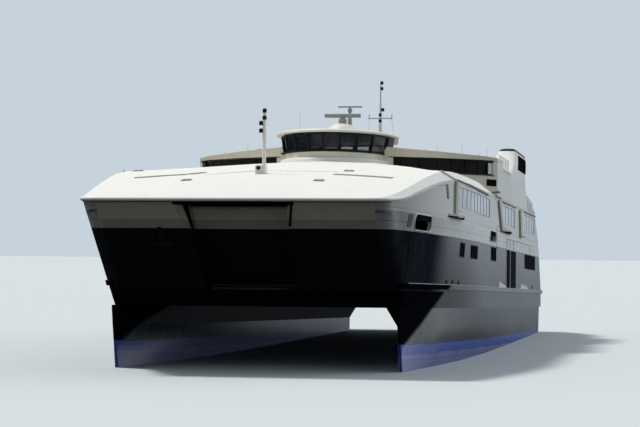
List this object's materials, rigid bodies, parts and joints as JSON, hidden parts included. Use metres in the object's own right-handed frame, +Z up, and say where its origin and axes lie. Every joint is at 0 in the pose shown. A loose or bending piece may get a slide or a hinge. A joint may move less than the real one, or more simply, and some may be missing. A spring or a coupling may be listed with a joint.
{
  "type": "passenger ferry, fast catamaran for cars and passengers, 1:10 scale model",
  "caption": "Fast catamaran ferry with a long sloping foredeck, wheelhouse, wing lounge, swept funnels, ramps and steerable waterjets.",
  "frame": {"origin": "amidships on the centreline, at the height of the floating waterline", "axes": "+X to the bow, +Y to port, +Z up; the keel is parallel to X"},
  "size_m": [8.66, 2.51, 2.576],
  "materials": {
    "white_paint": "satin",
    "cream_paint": "satin",
    "navy_paint": "satin",
    "antifouling": "matte",
    "tinted_glass": "gloss",
    "grey_metal": "matte",
    "bare_steel": "brushed",
    "black_paint": "satin",
    "upholstery": "matte"
  },
  "bodies": {
    "ship": {"hull_port": "antifouling", "hull_starboard": "antifouling", "engines_port": "grey_metal", "engines_starboard": "grey_metal", "car_deck": "navy_paint", "side_port": "navy_paint", "side_starboard": "navy_paint", "passenger_deck": "white_paint", "bow_front": "navy_paint", "stern_frame": "navy_paint", "rub_rail_port": "navy_paint", "rub_rail_starboard": "navy_paint", "foredeck": "white_paint", "cabin_side_port": "white_paint", "cabin_side_starboard": "white_paint", "cabin_glass_port": "tinted_glass", "cabin_glass_starboard": "tinted_glass", "cabin_roof": "white_paint", "cabin_aft_wall": "white_paint", "lounge_front_port": "white_paint", "lounge_front_starboard": "white_paint", "lounge_glass_port": "tinted_glass", "lounge_glass_starboard": "tinted_glass", "upper_side_port": "white_paint", "upper_side_starboard": "white_paint", "lounge_roof": "white_paint", "wheelhouse_base": "cream_paint", "wheelhouse_frame": "black_paint", "wheelhouse_glass": "tinted_glass", "wheelhouse_roof": "cream_paint", "bridge_console": "upholstery", "aft_roof": "white_paint", "upper_aft_wall": "white_paint", "funnel_port": "white_paint", "funnel_starboard": "white_paint", "foremast": "white_paint", "main_mast": "white_paint", "radar_post_lower": "white_paint", "radar_post_upper": "white_paint", "anchor": "grey_metal", "jet_frame_port": "bare_steel", "jet_frame_starboard": "bare_steel"},
    "bow_ramp": {"bow_ramp": "white_paint"},
    "radar_scanner_lower": {"radar_scanner_lower": "white_paint"},
    "radar_scanner_upper": {"radar_scanner_upper": "white_paint"},
    "stern_ramp_port": {"stern_ramp_port": "white_paint"},
    "stern_ramp_starboard": {"stern_ramp_starboard": "white_paint"},
    "jet_nozzle_inner_port": {"jet_nozzle_inner_port": "bare_steel"},
    "jet_bucket_inner_port": {"jet_bucket_inner_port": "bare_steel"},
    "jet_nozzle_outer_port": {"jet_nozzle_outer_port": "bare_steel"},
    "jet_bucket_outer_port": {"jet_bucket_outer_port": "bare_steel"},
    "jet_nozzle_inner_starboard": {"jet_nozzle_inner_starboard": "bare_steel"},
    "jet_bucket_inner_starboard": {"jet_bucket_inner_starboard": "bare_steel"},
    "jet_nozzle_outer_starboard": {"jet_nozzle_outer_starboard": "bare_steel"},
    "jet_bucket_outer_starboard": {"jet_bucket_outer_starboard": "bare_steel"}
  },
  "joints": [
    {"name": "bow_ramp_hinge", "type": "hinge", "parent": "ship", "child": "bow_ramp", "pos_m": [3.56516, 0, 0.475], "axis": [0, 1, 0], "range_deg": [0, 45]},
    {"name": "stern_ramp_hinge_port", "type": "hinge", "parent": "ship", "child": "stern_ramp_port", "pos_m": [-4.318, 0.52, 0.475], "axis": [0, -1, 0], "range_deg": [0, 128]},
    {"name": "stern_ramp_hinge_starboard", "type": "hinge", "parent": "ship", "child": "stern_ramp_starboard", "pos_m": [-4.318, -0.52, 0.475], "axis": [0, -1, 0], "range_deg": [0, 128]},
    {"name": "radar_turn_lower", "type": "hinge", "parent": "ship", "child": "radar_scanner_lower", "pos_m": [0.43, 0.01, 1.812], "axis": [0, 0, 1], "continuous": true},
    {"name": "radar_turn_upper", "type": "hinge", "parent": "ship", "child": "radar_scanner_upper", "pos_m": [0.24, 0.035, 1.902], "axis": [0, 0, 1], "continuous": true},
    {"name": "steering_inner_port", "type": "hinge", "parent": "ship", "child": "jet_nozzle_inner_port", "pos_m": [-4.205, 0.83, 0.01], "axis": [0, 0, 1], "range_deg": [-25, 25]},
    {"name": "reversing_inner_port", "type": "hinge", "parent": "jet_nozzle_inner_port", "child": "jet_bucket_inner_port", "pos_m": [-4.24, 0.83, 0.01], "axis": [0, -1, 0], "range_deg": [0, 72]},
    {"name": "steering_outer_port", "type": "hinge", "parent": "ship", "child": "jet_nozzle_outer_port", "pos_m": [-4.205, 1.06, 0.01], "axis": [0, 0, 1], "range_deg": [-25, 25]},
    {"name": "reversing_outer_port", "type": "hinge", "parent": "jet_nozzle_outer_port", "child": "jet_bucket_outer_port", "pos_m": [-4.24, 1.06, 0.01], "axis": [0, -1, 0], "range_deg": [0, 72]},
    {"name": "steering_inner_starboard", "type": "hinge", "parent": "ship", "child": "jet_nozzle_inner_starboard", "pos_m": [-4.205, -0.83, 0.01], "axis": [0, 0, 1], "range_deg": [-25, 25]},
    {"name": "reversing_inner_starboard", "type": "hinge", "parent": "jet_nozzle_inner_starboard", "child": "jet_bucket_inner_starboard", "pos_m": [-4.24, -0.83, 0.01], "axis": [0, -1, 0], "range_deg": [0, 72]},
    {"name": "steering_outer_starboard", "type": "hinge", "parent": "ship", "child": "jet_nozzle_outer_starboard", "pos_m": [-4.205, -1.06, 0.01], "axis": [0, 0, 1], "range_deg": [-25, 25]},
    {"name": "reversing_outer_starboard", "type": "hinge", "parent": "jet_nozzle_outer_starboard", "child": "jet_bucket_outer_starboard", "pos_m": [-4.24, -1.06, 0.01], "axis": [0, -1, 0], "range_deg": [0, 72]}
  ]
}
